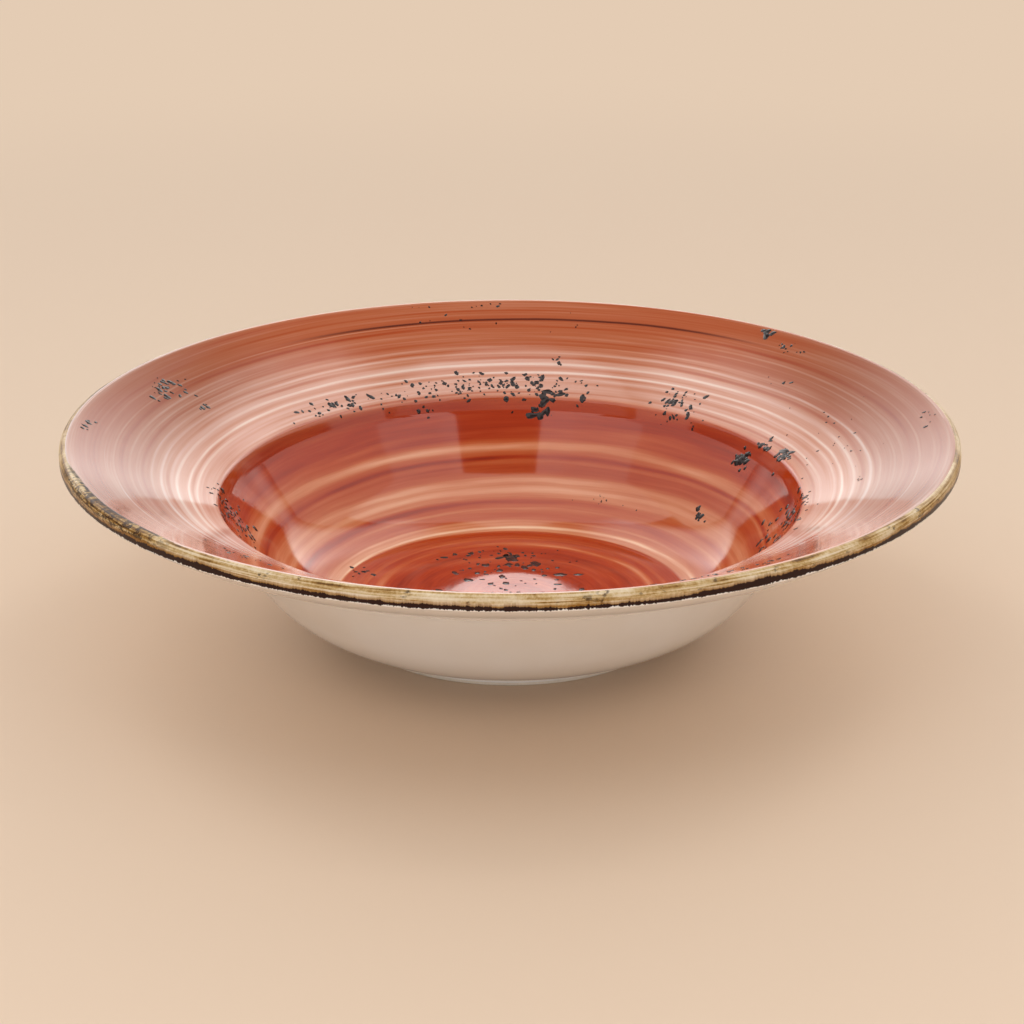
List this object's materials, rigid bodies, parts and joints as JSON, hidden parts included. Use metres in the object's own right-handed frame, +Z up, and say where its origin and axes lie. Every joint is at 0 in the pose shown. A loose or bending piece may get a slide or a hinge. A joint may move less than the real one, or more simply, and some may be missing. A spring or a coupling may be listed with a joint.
{
  "type": "pasta bowl",
  "caption": "Shallow round pasta bowl in glazed china, with a deep well, a wide sloping rim, a brown upright edge and a foot ring.",
  "frame": {"origin": "centre of the foot ring on the table, at the bottom centre of the bowl", "axes": "+Z up, along the bowl's axis of symmetry; X and Y lie in the table"},
  "size_m": [0.27, 0.27, 0.0639],
  "materials": {
    "bare_china": "matte, fired and unglazed",
    "terracotta_glaze": "gloss, banded by hand and flecked with black",
    "brown_edge_glaze": "gloss, mottled brown",
    "off_white_glaze": "gloss"
  },
  "bodies": {
    "root": {"china_body": "bare_china", "inside_glaze": "terracotta_glaze", "rim_band": "brown_edge_glaze", "outside_glaze": "off_white_glaze", "base_glaze": "off_white_glaze"}
  },
  "joints": []
}
